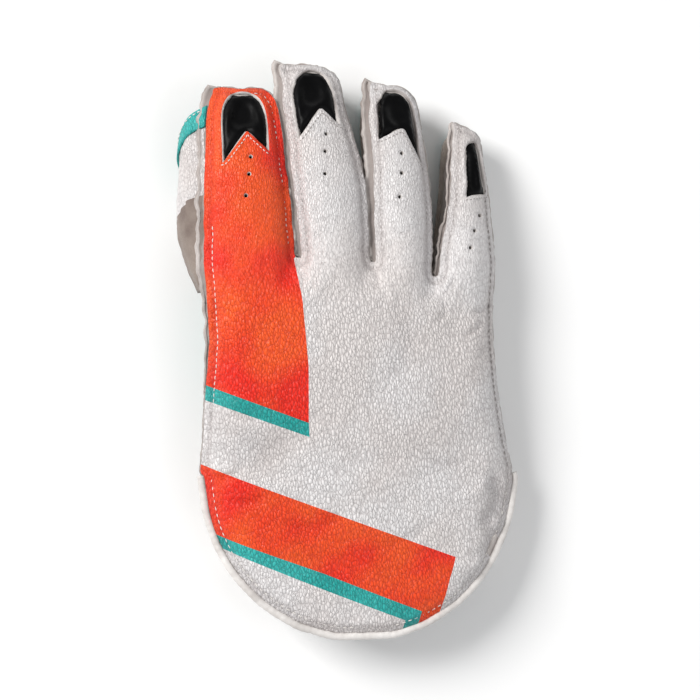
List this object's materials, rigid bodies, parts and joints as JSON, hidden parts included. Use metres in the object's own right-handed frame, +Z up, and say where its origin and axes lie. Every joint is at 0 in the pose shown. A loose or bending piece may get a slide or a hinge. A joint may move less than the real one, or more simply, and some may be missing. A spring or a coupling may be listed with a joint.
{
  "type": "wicketkeeping glove",
  "caption": "Right-hand wicketkeeping glove lying palm down, with moulded fingertip caps, a flared cuff and a web to the folded thumb.",
  "frame": {"origin": "on the floor, under the middle of the glove's bounding box", "axes": "+Y from the cuff to the fingertips, +X from the thumb side to the little finger, +Z up, out of the back of the hand"},
  "size_m": [0.188, 0.306, 0.0563],
  "materials": {
    "back_leather": "pebble-grained white leather printed orange and teal, soft sheen",
    "palm_leather": "plain white leather, soft sheen",
    "side_leather": "white leather strips with raw cut edges",
    "palm_rubber": "dimpled teal rubber, matt",
    "finger_cap": "black moulded cap, glossy",
    "web_leather": "white leather with a tan suede back",
    "web_binding": "teal leather strip with a white running stitch",
    "cuff_binding": "white bound edge, puckered by its stitches"
  },
  "bodies": {
    "root": {"back_panel": "back_leather", "palm_panel": "palm_leather", "palm_facing": "palm_rubber", "thumb_back": "palm_leather", "thumb_palm": "palm_rubber", "web": "web_leather", "web_strip": "web_binding", "cuff_binding_back": "cuff_binding", "cuff_binding_palm": "cuff_binding", "finger_cap_index": "finger_cap", "finger_cap_middle": "finger_cap", "finger_cap_ring": "finger_cap", "finger_cap_little": "finger_cap", "sidewall_index": "side_leather", "sidewall_middle": "side_leather", "sidewall_ring": "side_leather", "sidewall_little": "side_leather", "sidewall_hand_inner": "side_leather", "sidewall_hand_outer": "side_leather"}
  },
  "joints": []
}
